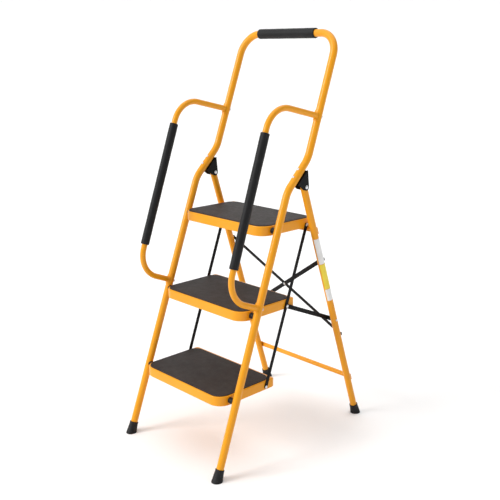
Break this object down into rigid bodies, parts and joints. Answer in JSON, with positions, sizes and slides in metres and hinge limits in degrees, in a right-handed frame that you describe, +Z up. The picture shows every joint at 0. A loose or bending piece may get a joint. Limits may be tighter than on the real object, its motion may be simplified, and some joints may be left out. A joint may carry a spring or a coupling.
{
  "type": "folding step stool",
  "caption": "Folding step stool with rubber-covered treads, a tall hoop frame with a padded top bar, padded side handrails and a braced rear frame.",
  "frame": {"origin": "on the floor, midway between the front and rear feet and midway between left and right", "axes": "+X to the right of a person climbing, -Y towards the climbing side, +Y towards the rear legs, +Z up"},
  "size_m": [0.502, 0.7415, 1.4019],
  "materials": {
    "enamel": "smooth semi-gloss yellow-orange powder coat",
    "dark_paint": "black powder coat, slightly glossy",
    "zinc": "zinc-plated, satin",
    "foam_grip": "matt closed-cell foam",
    "black_rubber": "matt moulded rubber",
    "step_mat": "matt ribbed dark brown-grey rubber",
    "black_plastic": "moulded black plastic",
    "label_white": "blank white vinyl label",
    "label_yellow": "blank yellow vinyl label"
  },
  "bodies": {
    "front_frame": {"front_frame_tube": "enamel", "top_grip": "foam_grip", "left_handrail": "enamel", "right_handrail": "enamel", "left_rail_grip": "foam_grip", "right_rail_grip": "foam_grip", "rail_saddles": "enamel", "rail_bolts": "zinc", "rail_inserts": "zinc", "left_hinge_bracket": "dark_paint", "right_hinge_bracket": "dark_paint", "bracket_bolts": "zinc", "hinge_pins": "zinc", "front_feet": "black_rubber", "step_pivot_bolts": "zinc", "step_spacers": "black_plastic"},
    "rear_frame": {"left_rear_leg": "enamel", "right_rear_leg": "enamel", "leg_plugs": "black_plastic", "rear_feet": "black_rubber", "upper_crossbar": "enamel", "lower_crossbar": "enamel", "crossbar_rivets": "zinc", "brace_bar_rising": "dark_paint", "brace_bar_falling": "dark_paint", "brace_bolts": "dark_paint", "brace_spacers": "zinc", "brace_rivet": "zinc", "strut_spacers": "black_plastic", "strut_bolts": "zinc", "label_upper": "label_white", "label_middle": "label_yellow", "label_lower": "label_white"},
    "platform": {"platform_pan": "enamel", "platform_mat": "step_mat", "platform_hooks": "enamel", "platform_rivets": "zinc"},
    "middle_step": {"middle_pan": "enamel", "middle_mat": "step_mat", "middle_rivets": "zinc"},
    "lower_step": {"lower_pan": "enamel", "lower_mat": "step_mat", "lower_rivets": "zinc"},
    "left_link": {"left_link_bar": "dark_paint"},
    "right_link": {"right_link_bar": "dark_paint"},
    "left_brace": {"left_strut": "dark_paint", "left_strut_rivet": "zinc"},
    "right_brace": {"right_strut": "dark_paint", "right_strut_rivet": "zinc"}
  },
  "joints": [
    {"name": "rear_frame_fold", "type": "hinge", "parent": "front_frame", "child": "rear_frame", "pos_m": [0, 0.048, 0.9], "axis": [-1, 0, 0], "range_deg": [0, 38]},
    {"name": "platform_fold", "type": "hinge", "parent": "front_frame", "child": "platform", "pos_m": [0, -0.07378, 0.77], "axis": [1, 0, 0], "range_deg": [0, 59.5]},
    {"name": "middle_step_fold", "type": "hinge", "parent": "front_frame", "child": "middle_step", "pos_m": [0, -0.16883, 0.506], "axis": [1, 0, 0], "range_deg": [0, 59.5]},
    {"name": "lower_step_fold", "type": "hinge", "parent": "front_frame", "child": "lower_step", "pos_m": [0, -0.26388, 0.242], "axis": [1, 0, 0], "range_deg": [0, 59.5]},
    {"name": "left_link_turn", "type": "hinge", "parent": "middle_step", "child": "left_link", "pos_m": [0, -0.00583, 0.5], "axis": [-1, 0, 0], "range_deg": [0, 59.5]},
    {"name": "right_link_turn", "type": "hinge", "parent": "middle_step", "child": "right_link", "pos_m": [0, -0.00583, 0.5], "axis": [-1, 0, 0], "range_deg": [0, 59.5]},
    {"name": "left_brace_turn", "type": "hinge", "parent": "middle_step", "child": "left_brace", "pos_m": [0, -0.00583, 0.5], "axis": [-1, 0, 0], "range_deg": [0, 137]},
    {"name": "right_brace_turn", "type": "hinge", "parent": "middle_step", "child": "right_brace", "pos_m": [0, -0.00583, 0.5], "axis": [-1, 0, 0], "range_deg": [0, 137]}
  ],
  "couplings": [
    {"joint": "platform_fold", "follows": "rear_frame_fold", "ratio": 1.5538},
    {"joint": "middle_step_fold", "follows": "rear_frame_fold", "ratio": 1.5538},
    {"joint": "lower_step_fold", "follows": "rear_frame_fold", "ratio": 1.5538},
    {"joint": "left_link_turn", "follows": "rear_frame_fold", "ratio": 1.5538},
    {"joint": "right_link_turn", "follows": "rear_frame_fold", "ratio": 1.5538},
    {"joint": "left_brace_turn", "follows": "rear_frame_fold", "ratio": 3.5933},
    {"joint": "right_brace_turn", "follows": "rear_frame_fold", "ratio": 3.5933}
  ]
}
